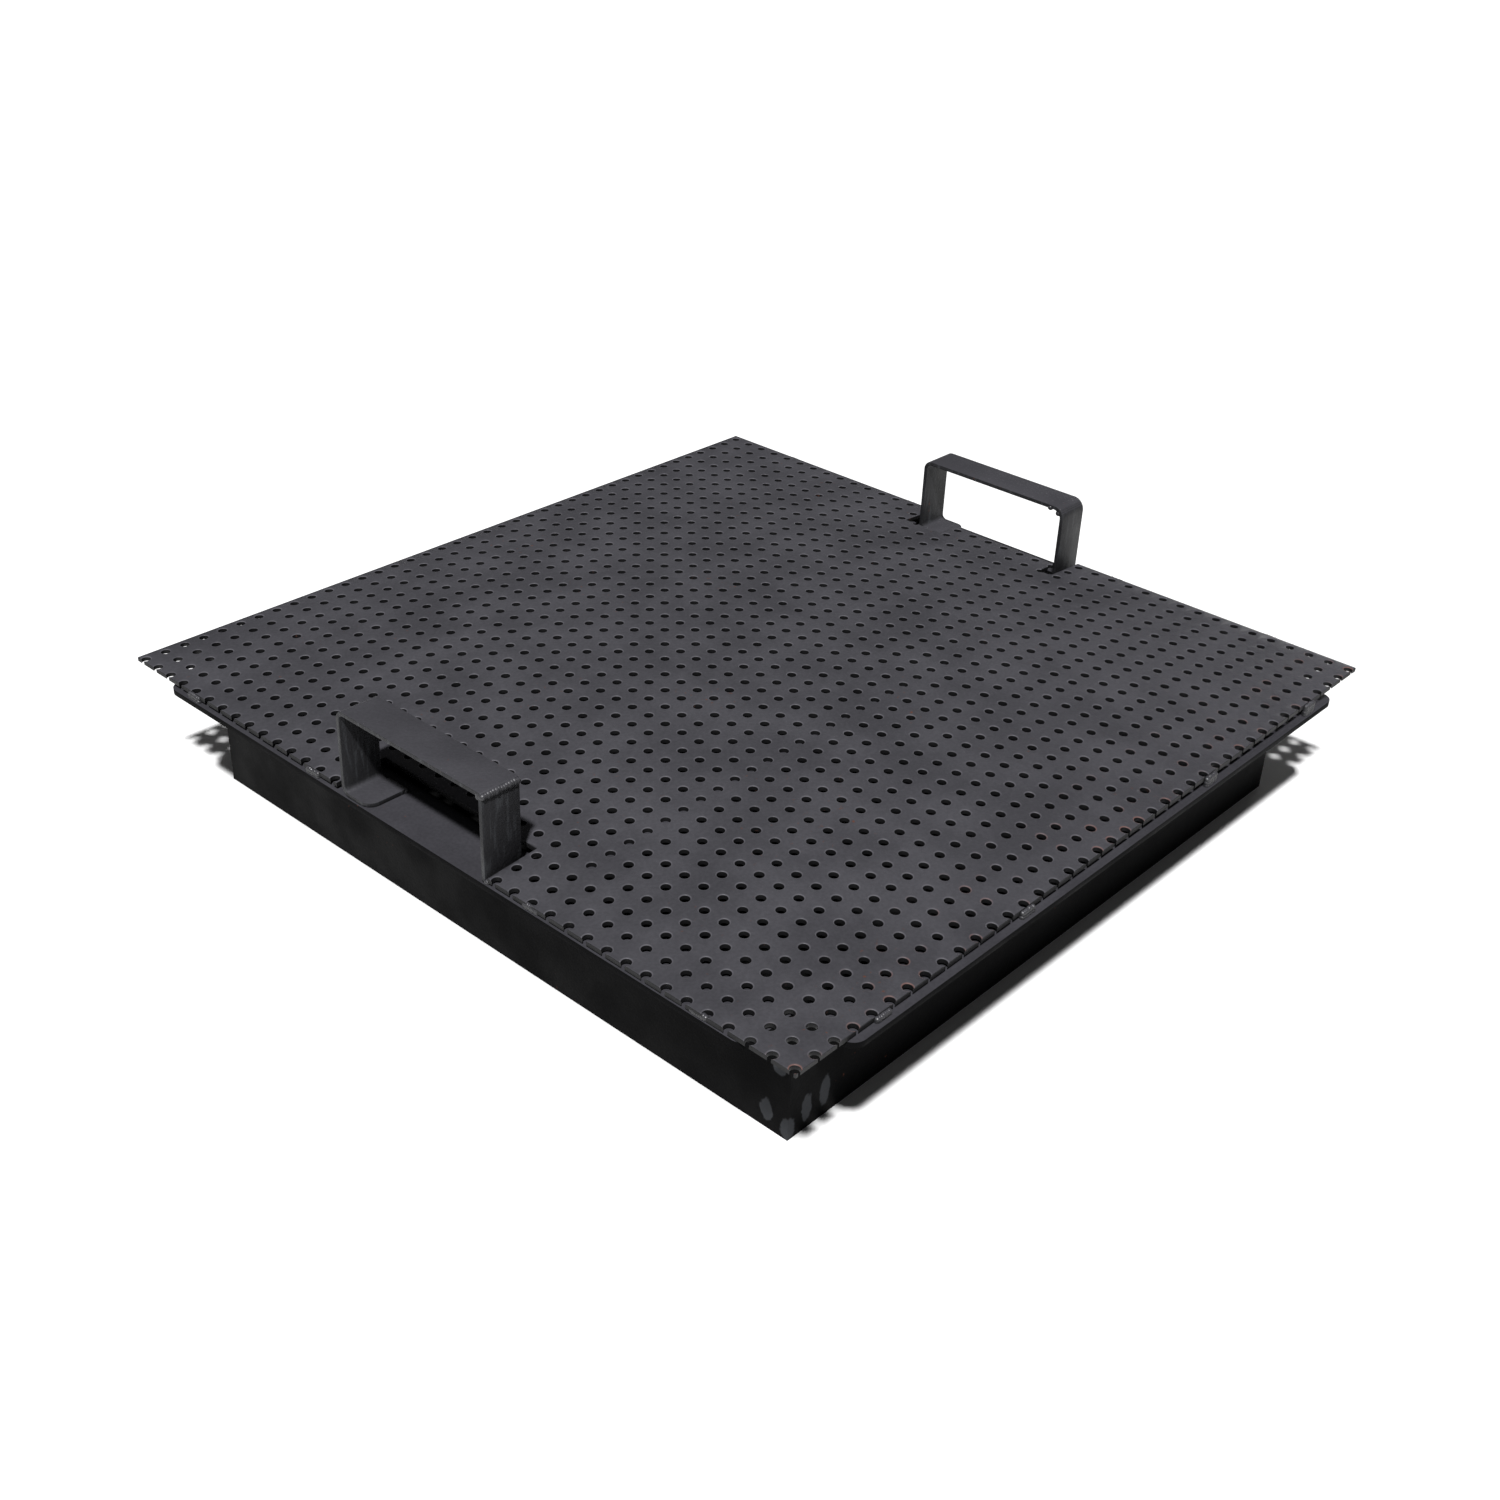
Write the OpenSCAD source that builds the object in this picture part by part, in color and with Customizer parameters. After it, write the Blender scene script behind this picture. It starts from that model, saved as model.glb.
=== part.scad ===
// Square perforated access cover: a flanged box frame of folded steel angle,
// a perforated steel sheet laid on its flanges, and two rigid lifting handles.
// +Z is up. The origin is the middle of the cover, level with the bottom edge of the skirt.
// +X points to the side of the right handle and -Y to the front.

/* [Overall] */
// Width over the flanges, from the left handle's side to the right handle's side
cover_w = 600; // [480:1:760]
// Depth over the flanges, front to back
cover_d = 600; // [480:1:760]
// Height of the frame, from the bottom edge of the skirt to the top of the flange
frame_h = 90; // [60:1:140]

/* [Frame] */
// Thickness of the folded frame steel
frame_t = 4; // [2:0.5:8]
// Width of the flange, measured outwards from the skirt
flange_w = 40; // [25:1:70]
// Rounding of the flange's outer corners, seen from above
flange_corner_r = 9; // [2:0.5:20]
// Inside radius of the fold between skirt and flange
fold_r = 4; // [1:0.5:8]

/* [Sheet] */
// Thickness of the perforated sheet
sheet_t = 3; // [1.5:0.5:6]
// Strip of flange left showing around the sheet
sheet_ledge = 3; // [1:0.5:8]
// Diameter of the round holes
hole_d = 6; // [3:0.5:10]
// Distance between hole centres, both ways
hole_pitch = 15; // [12:0.5:30]
// From the sheet's left and front edges to the first hole centres
first_hole = 2.6; // [1:0.1:12]
// Least steel left between the last holes and the right and back edges
edge_land = 2; // [1:0.5:8]

/* [Handles] */
// Length of a handle, over the outside of its two legs
handle_len = 132; // [100:1:180]
// Height of a handle above the flange
handle_h = 60; // [40:1:90]
// Width of the flat bar
bar_w = 28; // [20:1:38]
// Thickness of the flat bar
bar_t = 3; // [2:0.5:8]
// Inside radius of the bar's bends
bar_bend_r = 4; // [2:0.5:10]
// Length of the turned-in foot, from the outside of its leg
foot_len = 26; // [18:1:45]
// Rounding of the foot's free outer corner, seen from above
foot_corner_r = 8; // [2:0.5:14]
// From the flange's outer edge to the handle
handle_inset = 1; // [0:0.5:6]
// How far behind the middle of its side a handle stands
handle_back = 6; // [0:1:20]
// Free space in the sheet's cut-out behind a handle
notch_back = 11; // [4:0.5:20]
// Free space in the sheet's cut-out at each end of a handle
notch_side = 4; // [2:0.5:12]
// How far the sheet reaches out under the right grip, past the back of the bar
tongue = 10; // [0:1:20]

/* [Stiffeners] */
// Depth of the two flat bars under the sheet
stiffener_h = 40; // [20:1:55]
// Thickness of the stiffener bars
stiffener_t = 5; // [3:0.5:8]
// Distance between the two bars' middles
stiffener_gap = 190; // [120:1:300]

/* [Welds] */
// Leg of the weld beads at the frame's corners
corner_weld_leg = 4; // [2:0.5:6]
// Radius of the weld beads at the handles
handle_weld_r = 3; // [1.5:0.5:4]
// Radius of the weld beads at the ends of the stiffeners
stiffener_weld_r = 4; // [2:0.5:6]
// Radius of the tack welds along the sheet's edge
tack_r = 2.5; // [1:0.5:3]
// Length of one tack weld
tack_len = 12; // [5:1:25]
// From a corner of the skirt to the middle of the last tack
tack_end = 31; // [20:1:60]

/* [Hidden] */
$fn = 48;

// How far a cutting shape runs past what it cuts
over = 1;

// The skirt: the box below the flange
skirt_w = cover_w - 2 * flange_w;
skirt_d = cover_d - 2 * flange_w;
skirt_in_w = skirt_w - 2 * frame_t;
skirt_in_d = skirt_d - 2 * frame_t;

// The sheet and its grid of holes
sheet_w = cover_w - 2 * sheet_ledge;
sheet_d = cover_d - 2 * sheet_ledge;
last_hole = hole_d / 2 + edge_land;
columns = floor((sheet_w - first_hole - last_hole) / hole_pitch) + 1;
rows = floor((sheet_d - first_hole - last_hole) / hole_pitch) + 1;

// The handles stand on the left and right flanges, in cut-outs of the sheet
bar_x = cover_w / 2 - handle_inset;
leg_y = handle_len / 2;
notch_w = handle_inset + bar_w + notch_back - sheet_ledge;
notch_d = handle_len + 2 * notch_side;
tongue_d = handle_len - bar_t - foot_len - 2 * notch_side;
bend_out_r = bar_bend_r + bar_t;

// The first tack weld each way from the middle of a side, clear of the handles' cut-outs
tack_first = notch_d / 2 + handle_back + 2 * tack_len;

// Places of the tack welds along a side whose skirt is len long
function tack_places(len) = [for (s = [-1, 1], p = [tack_first, len / 2 - tack_end]) s * p];

// A quarter of a round bar in the corner between two faces, running along +X
module fillet_bead(r, len)
    translate([-len / 2, 0, 0])
        rotate([90, 0, 90])
            linear_extrude(len)
                intersection() {
                    circle(r);
                    square(r + over);
                }

// A quarter ring: the bend of a bar or a fold, in the quadrant +X +Y
module quarter_ring(r_in, t)
    intersection() {
        difference() {
            circle(r_in + t);
            circle(r_in);
        }
        square(r_in + t + over);
    }

// Section of the folded angle: skirt at x = 0, flange towards +X, top at y = frame_h
module angle_section() {
    square([frame_t, frame_h - fold_r - frame_t]);
    translate([frame_t + fold_r, frame_h - frame_t])
        square([flange_w - fold_r, frame_t]);
    translate([frame_t + fold_r, frame_h - fold_r - frame_t])
        mirror([1, 0])
            quarter_ring(fold_r, frame_t);
}

// Plan of one angle: mitred skirt ends, and a flange with rounded outer corners.
// The skirt's outside is len long and the flange points towards -Y.
module angle_plan(len)
    difference() {
        polygon([
            [-len / 2, -flange_w], [len / 2, -flange_w], [len / 2, 0],
            [len / 2 - frame_t - fold_r, frame_t + fold_r],
            [-len / 2 + frame_t + fold_r, frame_t + fold_r],
            [-len / 2, 0]
        ]);
        for (s = [-1, 1])
            translate([s * len / 2, -flange_w])
                difference() {
                    square(2 * flange_corner_r, center = true);
                    translate([-s * flange_corner_r, flange_corner_r])
                        circle(flange_corner_r);
                }
    }

// One side of the frame, with its skirt's outside len long and off from the middle
module frame_angle(len, off)
    translate([0, -off, 0])
        intersection() {
            linear_extrude(frame_h)
                angle_plan(len);
            translate([-len / 2 - over, frame_t, 0])
                rotate([90, 0, 90])
                    linear_extrude(len + 2 * over)
                        mirror([1, 0])
                            angle_section();
        }

module frame_angle_front()
    color("#1b1b1d") frame_angle(skirt_w, skirt_d / 2);

module frame_angle_back()
    color("#1b1b1d") rotate(180) frame_angle(skirt_w, skirt_d / 2);

module frame_angle_left()
    color("#1b1b1d") rotate(-90) frame_angle(skirt_d, skirt_w / 2);

module frame_angle_right()
    color("#1b1b1d") rotate(90) frame_angle(skirt_d, skirt_w / 2);

// The cover's top: a square grid of holes that the left and front edges cut open
module perforated_sheet()
    color("#57575c")
        translate([0, 0, frame_h])
            linear_extrude(sheet_t)
                difference() {
                    square([sheet_w, sheet_d], center = true);
                    notch(0);
                    mirror([1, 0])
                        notch(tongue);
                    translate([first_hole - sheet_w / 2, first_hole - sheet_d / 2]) {
                        for (i = [0:columns - 1], j = [0:rows - 1])
                            translate([i * hole_pitch, j * hole_pitch])
                                circle(d = hole_d);
                        if (first_hole < hole_d / 2)
                            lost_corner();
                    }
                }

// Plan of the cut-out at the left handle, with a tongue of sheet reaching out between leg and foot
module notch(reach)
    translate([-sheet_w / 2 - over, handle_back])
        difference() {
            translate([0, -notch_d / 2])
                square([notch_w + over, notch_d]);
            if (reach > 0)
                translate([notch_w + over - notch_back - reach, bar_t + notch_side - leg_y])
                    square([notch_back + reach + over, tongue_d]);
        }

// The tip of the sheet that the corner hole cuts loose when it breaks both edges
module lost_corner()
    translate([-first_hole - over, -first_hole - over])
        square(first_hole + over);

// A flat bar on edge across the box, under the sheet
module stiffener(y)
    translate([0, y, frame_h - stiffener_h / 2])
        cube([skirt_in_w, stiffener_t, stiffener_h], center = true);

module stiffener_front()
    color("#1b1b1d") stiffener(-stiffener_gap / 2);

module stiffener_back()
    color("#1b1b1d") stiffener(stiffener_gap / 2);

// Side view of the bent bar: foot, leg and grip. The leg's outside is at x = leg_y.
module handle_bar_profile() {
    leg_in = leg_y - bend_out_r;
    translate([leg_y - foot_len, 0])
        square([foot_len - bend_out_r, bar_t]);
    translate([leg_in, bend_out_r])
        mirror([0, 1])
            quarter_ring(bar_bend_r, bar_t);
    translate([leg_y - bar_t, bend_out_r])
        square([bar_t, handle_h - 2 * bend_out_r]);
    translate([leg_in, handle_h - bend_out_r])
        quarter_ring(bar_bend_r, bar_t);
    translate([-leg_y, handle_h - bar_t])
        square([leg_in + leg_y, bar_t]);
}

// Bent bar with its width along +X from x = 0, and the free corner of its foot rounded
module handle_bar()
    difference() {
        rotate([90, 0, 90])
            linear_extrude(bar_w)
                handle_bar_profile();
        translate([0, leg_y - foot_len, -over])
            linear_extrude(bar_t + 2 * over)
                difference() {
                    translate([-over, -over])
                        square(foot_corner_r + over);
                    translate([foot_corner_r, foot_corner_r])
                        circle(foot_corner_r);
                }
    }

// The plain leg at the handle's other end, from the flange up to the grip
module handle_post()
    translate([0, -leg_y, 0])
        cube([bar_w, bar_t, handle_h - bar_t]);

// The bead that joins the plain leg to the grip, in the corner under the grip
module handle_corner_weld()
    translate([bar_w / 2, -leg_y + bar_t, handle_h - bar_t])
        mirror([0, 0, 1])
            fillet_bead(handle_weld_r, bar_w);

// The beads that hold a handle to the flange: outside the plain leg and behind the foot
module handle_foot_welds() {
    translate([bar_w / 2, -leg_y, 0])
        mirror([0, 1, 0])
            fillet_bead(handle_weld_r, bar_w);
    translate([bar_w, leg_y - (foot_len + bend_out_r) / 2, 0])
        rotate(90)
            mirror([0, 1, 0])
                fillet_bead(handle_weld_r, foot_len - bend_out_r);
}

// Puts a handle's piece on the left flange, or its mirror image on the right flange
module on_left()
    translate([-bar_x, handle_back, frame_h]) children();

module on_right()
    mirror([1, 0, 0]) on_left() children();

module handle_bar_left()
    color("#4b4b4f") on_left() handle_bar();

module handle_bar_right()
    color("#4b4b4f") on_right() handle_bar();

module handle_post_left()
    color("#3a3a3d") on_left() handle_post();

module handle_post_right()
    color("#3a3a3d") on_right() handle_post();

module handle_corner_weld_left()
    color("#5f5f63") on_left() handle_corner_weld();

module handle_corner_weld_right()
    color("#5f5f63") on_right() handle_corner_weld();

module handle_foot_welds_left()
    color("#5f5f63") on_left() handle_foot_welds();

module handle_foot_welds_right()
    color("#5f5f63") on_right() handle_foot_welds();

// A bead up the inside of a frame corner, clear of the floor and of the fold
module corner_weld(sx, sy)
    color("#5f5f63")
        translate([sx * skirt_in_w / 2, sy * skirt_in_d / 2, frame_t])
            linear_extrude(frame_h - 3 * frame_t - fold_r)
                polygon([[0, 0], [-sx * corner_weld_leg, 0], [0, -sy * corner_weld_leg]]);

module corner_weld_front_left() corner_weld(-1, -1);

module corner_weld_front_right() corner_weld(1, -1);

module corner_weld_back_left() corner_weld(-1, 1);

module corner_weld_back_right() corner_weld(1, 1);

// Upright beads on both faces of each stiffener, where it meets the skirt
module stiffener_welds() {
    bead_h = stiffener_h - frame_t - fold_r;
    color("#5f5f63")
        for (sx = [-1, 1], bar = [-1, 1], face = [-1, 1])
            translate([
                sx * skirt_in_w / 2,
                bar * stiffener_gap / 2 + face * stiffener_t / 2,
                frame_h - stiffener_h
            ])
                linear_extrude(bead_h)
                    intersection() {
                        circle(stiffener_weld_r);
                        translate([-sx * (stiffener_weld_r + over) / 2, face * (stiffener_weld_r + over) / 2])
                            square(stiffener_weld_r + over, center = true);
                    }
}

// Short beads between the sheet's edge and the flange, four to a side
module sheet_tack_welds()
    color("#5f5f63")
        for (side = [0:3]) {
            along_x = side % 2 == 0;
            for (p = tack_places(along_x ? skirt_w : skirt_d))
                rotate(90 * side)
                    translate([p, -(along_x ? sheet_d : sheet_w) / 2, frame_h])
                        mirror([0, 1, 0])
                            fillet_bead(tack_r, tack_len);
        }

perforated_sheet();
frame_angle_front();
frame_angle_back();
frame_angle_left();
frame_angle_right();
stiffener_front();
stiffener_back();
handle_bar_left();
handle_bar_right();
handle_post_left();
handle_post_right();
handle_corner_weld_left();
handle_corner_weld_right();
handle_foot_welds_left();
handle_foot_welds_right();
corner_weld_front_left();
corner_weld_front_right();
corner_weld_back_left();
corner_weld_back_right();
stiffener_welds();
sheet_tack_welds();
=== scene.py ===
"""The looks of a square perforated access cover with two rigid lifting handles.

The cover is a flanged box frame of folded steel angle, a perforated steel sheet laid on its
flanges, and a flat-bar handle on the left and on the right flange, all under black paint that shows wear.
Everything is in metres, with +Z up and the origin level with the bottom edge of the skirt.
"""

import logging
import math
from dataclasses import dataclass, field
from enum import Enum
from typing import Callable, Sequence

import bmesh
import bpy
import numpy as np
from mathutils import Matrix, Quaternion, Vector


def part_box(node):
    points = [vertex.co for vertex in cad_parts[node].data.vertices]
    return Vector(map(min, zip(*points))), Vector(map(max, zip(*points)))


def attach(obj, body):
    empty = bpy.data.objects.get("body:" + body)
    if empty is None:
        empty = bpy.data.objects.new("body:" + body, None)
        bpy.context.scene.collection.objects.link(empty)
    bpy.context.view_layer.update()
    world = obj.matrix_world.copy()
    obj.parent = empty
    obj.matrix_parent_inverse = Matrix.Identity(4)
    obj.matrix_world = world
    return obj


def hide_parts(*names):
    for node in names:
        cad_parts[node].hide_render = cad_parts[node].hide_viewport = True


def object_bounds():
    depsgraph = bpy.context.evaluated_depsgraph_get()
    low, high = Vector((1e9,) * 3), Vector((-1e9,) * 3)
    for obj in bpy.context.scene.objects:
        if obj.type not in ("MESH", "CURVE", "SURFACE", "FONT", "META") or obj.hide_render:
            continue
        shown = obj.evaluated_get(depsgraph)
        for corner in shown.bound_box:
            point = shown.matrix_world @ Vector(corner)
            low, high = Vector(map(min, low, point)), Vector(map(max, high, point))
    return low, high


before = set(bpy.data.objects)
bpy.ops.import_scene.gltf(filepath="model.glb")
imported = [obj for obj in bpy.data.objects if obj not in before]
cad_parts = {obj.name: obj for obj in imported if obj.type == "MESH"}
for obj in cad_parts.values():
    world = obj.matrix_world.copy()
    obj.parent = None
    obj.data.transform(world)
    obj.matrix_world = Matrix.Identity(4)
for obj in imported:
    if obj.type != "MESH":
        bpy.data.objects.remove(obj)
CAD_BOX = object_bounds()

BODY = "root"
LOG = logging.getLogger("cover")

Colour = tuple[float, float, float, float]


def mm(value: float) -> float:
    """Turns millimetres into metres."""
    return value / 1000.0


class Side(Enum):
    """A side of the cover, with the direction that its flange points in."""

    FRONT = (0, -1)
    BACK = (0, 1)
    LEFT = (-1, 0)
    RIGHT = (1, 0)

    @property
    def label(self) -> str:
        """The side's name as pieces and nodes use it."""
        return self.name.lower()


class Slot(Enum):
    """The record's material slots."""

    SHEET = "sheet_paint"
    FRAME = "frame_paint"
    HANDLE = "handle_paint"
    WELD = "weld_paint"


@dataclass(frozen=True)
class Seating:
    """How the sheet lies on its frame: a little off its middle and turned.

    Attributes:
        shift: How far it is moved along X and Y.
        turn: How far it is turned, in degrees.
    """

    shift: tuple[float, float] = (mm(-1.4), mm(1.3))
    turn: float = -0.22

    def move(self, points: np.ndarray) -> np.ndarray:
        """Moves points with the sheet.

        Args:
            points: Rows of X, Y and Z.

        Returns:
            The moved points.
        """
        angle = math.radians(self.turn)
        cos, sin = math.cos(angle), math.sin(angle)
        moved = points.copy()
        moved[:, 0] = cos * points[:, 0] - sin * points[:, 1] + self.shift[0]
        moved[:, 1] = sin * points[:, 0] + cos * points[:, 1] + self.shift[1]
        return moved


# ---------------------------------------------------------------- materials


class Shader:
    """Adds nodes to one material and links them."""

    def __init__(self, name: str) -> None:
        """Starts an empty node material.

        Args:
            name: The material's name.
        """
        self.material = bpy.data.materials.new(name)
        self.material.use_nodes = True
        self.tree = self.material.node_tree
        self.tree.nodes.clear()
        self.place = self.add("ShaderNodeTexCoord").outputs["Object"]
        self.normal = self.add("ShaderNodeNewGeometry").outputs["Normal"]

    def add(self, kind: str, **settings: object) -> bpy.types.Node:
        """Adds a node.

        Args:
            kind: The node's type name.
            **settings: Properties to set on the node.

        Returns:
            The new node.
        """
        node = self.tree.nodes.new(kind)
        for key, value in settings.items():
            setattr(node, key, value)
        return node

    def feed(self, socket: bpy.types.NodeSocket, value: object) -> None:
        """Links an output to a socket, or sets the socket to a constant.

        Args:
            socket: The input to fill.
            value: An output socket, or a number, vector or colour.
        """
        if isinstance(value, bpy.types.NodeSocket):
            self.tree.links.new(value, socket)
        else:
            socket.default_value = value

    def math(self, operation: str, *values: object, clamp: bool = False) -> bpy.types.NodeSocket:
        """Works out a number.

        Args:
            operation: The operation's name, such as MULTIPLY.
            *values: Outputs or numbers.
            clamp: Whether the result is kept from 0 to 1.

        Returns:
            The result's socket.
        """
        node = self.add("ShaderNodeMath", operation=operation, use_clamp=clamp)
        for socket, value in zip(node.inputs, values):
            self.feed(socket, value)
        return node.outputs[0]

    def vector_math(self, operation: str, *values: object) -> bpy.types.Node:
        """Works out a vector, or its length.

        Args:
            operation: The operation's name, such as SUBTRACT.
            *values: Outputs or vectors.

        Returns:
            The node, with outputs Vector and Value.
        """
        node = self.add("ShaderNodeVectorMath", operation=operation)
        for socket, value in zip(node.inputs, values):
            self.feed(socket, value)
        return node

    def ramp(self, value: object, low: float, high: float, start: float = 0.0,
             end: float = 1.0) -> bpy.types.NodeSocket:
        """Maps a number smoothly from one range to another, and keeps it there.

        Args:
            value: The number.
            low: What maps to start.
            high: What maps to end.
            start: The result at low.
            end: The result at high.

        Returns:
            The result's socket.
        """
        node = self.add("ShaderNodeMapRange", interpolation_type="SMOOTHSTEP", clamp=True)
        for name, item in (("Value", value), ("From Min", low), ("From Max", high),
                           ("To Min", start), ("To Max", end)):
            self.feed(node.inputs[name], item)
        return node.outputs["Result"]

    def noise(self, grain: float, detail: float = 3.0, stretch: Sequence[float] = (1, 1, 1)
              ) -> bpy.types.NodeSocket:
        """A noise pattern fixed to the piece.

        Args:
            grain: The size of its patches, in metres.
            detail: How many finer layers it has.
            stretch: How much it is squeezed along X, Y and Z.

        Returns:
            The pattern's socket, mostly from 0.3 to 0.7.
        """
        node = self.add("ShaderNodeTexNoise")
        squeezed = self.vector_math("MULTIPLY", self.place, tuple(stretch)).outputs["Vector"]
        self.feed(node.inputs["Vector"], squeezed)
        node.inputs["Scale"].default_value = 1.0 / grain
        node.inputs["Detail"].default_value = detail
        return node.outputs["Fac"]

    def mix(self, share: object, below: object, above: object) -> bpy.types.NodeSocket:
        """Blends two colours.

        Args:
            share: How much of the second shows.
            below: The first colour.
            above: The second colour.

        Returns:
            The blend's socket.
        """
        node = self.add("ShaderNodeMix", data_type="RGBA")
        self.feed(node.inputs["Factor"], share)
        self.feed(node.inputs[6], below)
        self.feed(node.inputs[7], above)
        return node.outputs[2]

    def axis(self, vector: bpy.types.NodeSocket, name: str) -> bpy.types.NodeSocket:
        """One component of a vector.

        Args:
            vector: The vector.
            name: X, Y or Z.

        Returns:
            The component's socket.
        """
        node = self.add("ShaderNodeSeparateXYZ")
        self.feed(node.inputs[0], vector)
        return node.outputs[name]

    def finish(self, colour: object, roughness: object, height: object, depth: float,
               shine: float) -> bpy.types.Material:
        """Ends the material in a painted surface.

        Args:
            colour: The paint's colour.
            roughness: Its roughness.
            height: Its relief, from 0 to 1.
            depth: How deep the relief is, in metres.
            shine: Strength of its reflections.

        Returns:
            The finished material.
        """
        bump = self.add("ShaderNodeBump")
        bump.inputs["Strength"].default_value = 1.0
        bump.inputs["Distance"].default_value = depth
        self.feed(bump.inputs["Height"], height)
        surface = self.add("ShaderNodeBsdfPrincipled")
        self.feed(surface.inputs["Base Color"], colour)
        self.feed(surface.inputs["Roughness"], roughness)
        self.feed(surface.inputs["Normal"], bump.outputs["Normal"])
        surface.inputs["Metallic"].default_value = 0.0
        surface.inputs["IOR"].default_value = 1.5
        surface.inputs["Specular IOR Level"].default_value = shine
        output = self.add("ShaderNodeOutputMaterial")
        self.feed(output.inputs["Surface"], surface.outputs["BSDF"])
        return self.material


@dataclass(frozen=True)
class TouchUp:
    """A dab of newer paint on the frame.

    Attributes:
        centre: Where it is.
        radii: Its half sizes along X, Y and Z.
    """

    centre: tuple[float, float, float]
    radii: tuple[float, float, float]


@dataclass(frozen=True)
class WornPaint:
    """Black paint on steel, lighter on what faces up: dusty, with a painted sheen of reflected light.

    Attributes:
        name: The material's name.
        paint: Colour of the clean paint.
        dust: Colour of faces that point up, dusty and lightened by painted sheen of reflected light.
        dust_most: Largest share of that dusty, painted sheen.
        gloss: Lowest roughness.
        matt: Highest roughness.
        relief: Depth of the paint's texture.
        shine: Strength of its reflections.
        rust_share: How far the rust specks spread, from 0 to 1.
        streaks: Strength of the pale runs on upright faces.
        marks: Dabs of newer paint.
    """

    name: str
    paint: Colour = (0.0055, 0.0055, 0.0060, 1)
    # Bluish grey for faces that point up: dusty, and partly a painted sheen of reflected light.
    dust: Colour = (0.047, 0.046, 0.053, 1)
    dust_most: float = 0.92
    gloss: float = 0.42
    matt: float = 0.62
    relief: float = mm(0.12)
    shine: float = 0.12
    rust_share: float = 0.2
    streaks: float = 0.0
    marks: tuple[TouchUp, ...] = ()

    RUST: Colour = field(default=(0.085, 0.034, 0.022, 1), init=False)
    FRESH: Colour = field(default=(0.040, 0.042, 0.046, 1), init=False)

    def base(self, shader: Shader) -> tuple[bpy.types.NodeSocket, bpy.types.NodeSocket]:
        """Mixes paint, the dusty painted sheen on upward faces, rust and dabs.

        Args:
            shader: The material being made.

        Returns:
            The colour, and the cloudy pattern that roughness follows too.
        """
        cloud = shader.noise(mm(45), 5.0)
        speck = shader.noise(mm(2.2), 2.0)
        # Painted sheen: faces that point up are lightened towards the bluish grey, partly a dusty coat and
        # partly standing in for reflected light.
        facing = shader.ramp(shader.axis(shader.normal, "Z"), 0.25, 0.95)
        dust_and_sheen_share = shader.math("MULTIPLY", facing, shader.ramp(cloud, 0.25, 0.75, 0.72, 1.0))
        dust_and_sheen_share = shader.math("MULTIPLY", dust_and_sheen_share, shader.ramp(speck, 0.3, 0.7, 0.85, 1.0))
        dust_and_sheen_share = shader.math("MULTIPLY", dust_and_sheen_share, self.dust_most)
        colour = shader.mix(dust_and_sheen_share, self.paint, self.dust)
        pits = shader.ramp(shader.noise(mm(3.5), 4.0), 0.70 - 0.08 * self.rust_share, 0.78)
        patch = shader.ramp(shader.noise(mm(80), 2.0), 0.52, 0.66)
        colour = shader.mix(shader.math("MULTIPLY", pits, patch), colour, self.RUST)
        runs = shader.ramp(shader.noise(mm(3), 3.0, (1, 1, 0.14)), 0.50, 0.72, 0.0, self.streaks)
        upright = shader.math("SUBTRACT", 1.0, facing)
        colour = shader.mix(shader.math("MULTIPLY", runs, upright), colour, self.FRESH)
        wobble = shader.ramp(shader.noise(mm(5)), 0.3, 0.7, -0.12, 0.12)
        for mark in self.marks:
            away = shader.vector_math("SUBTRACT", shader.place, mark.centre).outputs["Vector"]
            scaled = shader.vector_math("DIVIDE", away, mark.radii).outputs["Vector"]
            reach = shader.math("ADD", shader.vector_math("LENGTH", scaled).outputs["Value"], wobble)
            colour = shader.mix(shader.ramp(reach, 0.8, 1.05, 1.0, 0.0), colour, self.FRESH)
        return colour, cloud

    def material(self) -> bpy.types.Material:
        """Makes the material."""
        shader = Shader(self.name)
        colour, cloud = self.base(shader)
        rough = shader.ramp(cloud, 0.3, 0.7, self.gloss, self.matt)
        orange_peel = shader.noise(mm(1.6), 2.0)
        return shader.finish(colour, rough, orange_peel, self.relief, self.shine)


@dataclass(frozen=True)
class HoleGrid:
    """The square grid of round holes.

    Attributes:
        first: Centre of the front left hole.
        pitch: Distance between centres.
        radius: Radius of a hole.
        rim: Width of the rolled edge round a hole.
        columns: Holes along X.
        rows: Holes along Y.
    """

    first: tuple[float, float]
    pitch: float
    radius: float
    rim: float
    columns: int
    rows: int


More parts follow.
